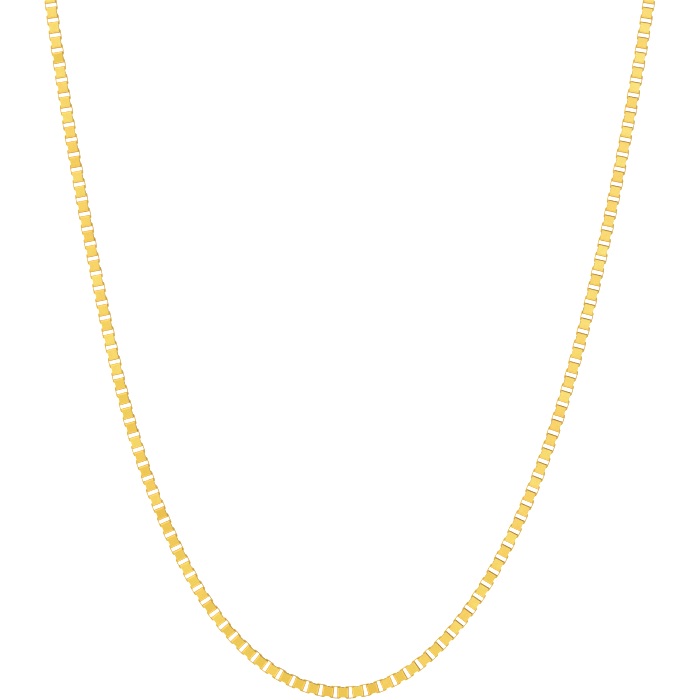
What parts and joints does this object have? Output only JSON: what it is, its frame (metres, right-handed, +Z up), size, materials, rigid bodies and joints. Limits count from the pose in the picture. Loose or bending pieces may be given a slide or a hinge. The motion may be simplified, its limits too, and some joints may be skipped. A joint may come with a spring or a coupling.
{
  "type": "box chain necklace",
  "caption": "Box chain necklace of square folded links in polished yellow metal, hanging in a deep curve in front and closed round the neck by a plain barrel clasp.",
  "frame": {"origin": "on the underside of the clasp, where the necklace rests on the nape", "axes": "+Z up along the front's fall, the front of the necklace faces -Y, +X across the neck towards the right of a viewer in front"},
  "size_m": [0.1092, 0.1004, 0.1747],
  "materials": {
    "chain_gold": "polished",
    "clasp_gold": "polished"
  },
  "bodies": {
    "root": {"chain_front": "chain_gold", "chain_back": "chain_gold", "clasp": "clasp_gold"}
  },
  "joints": []
}
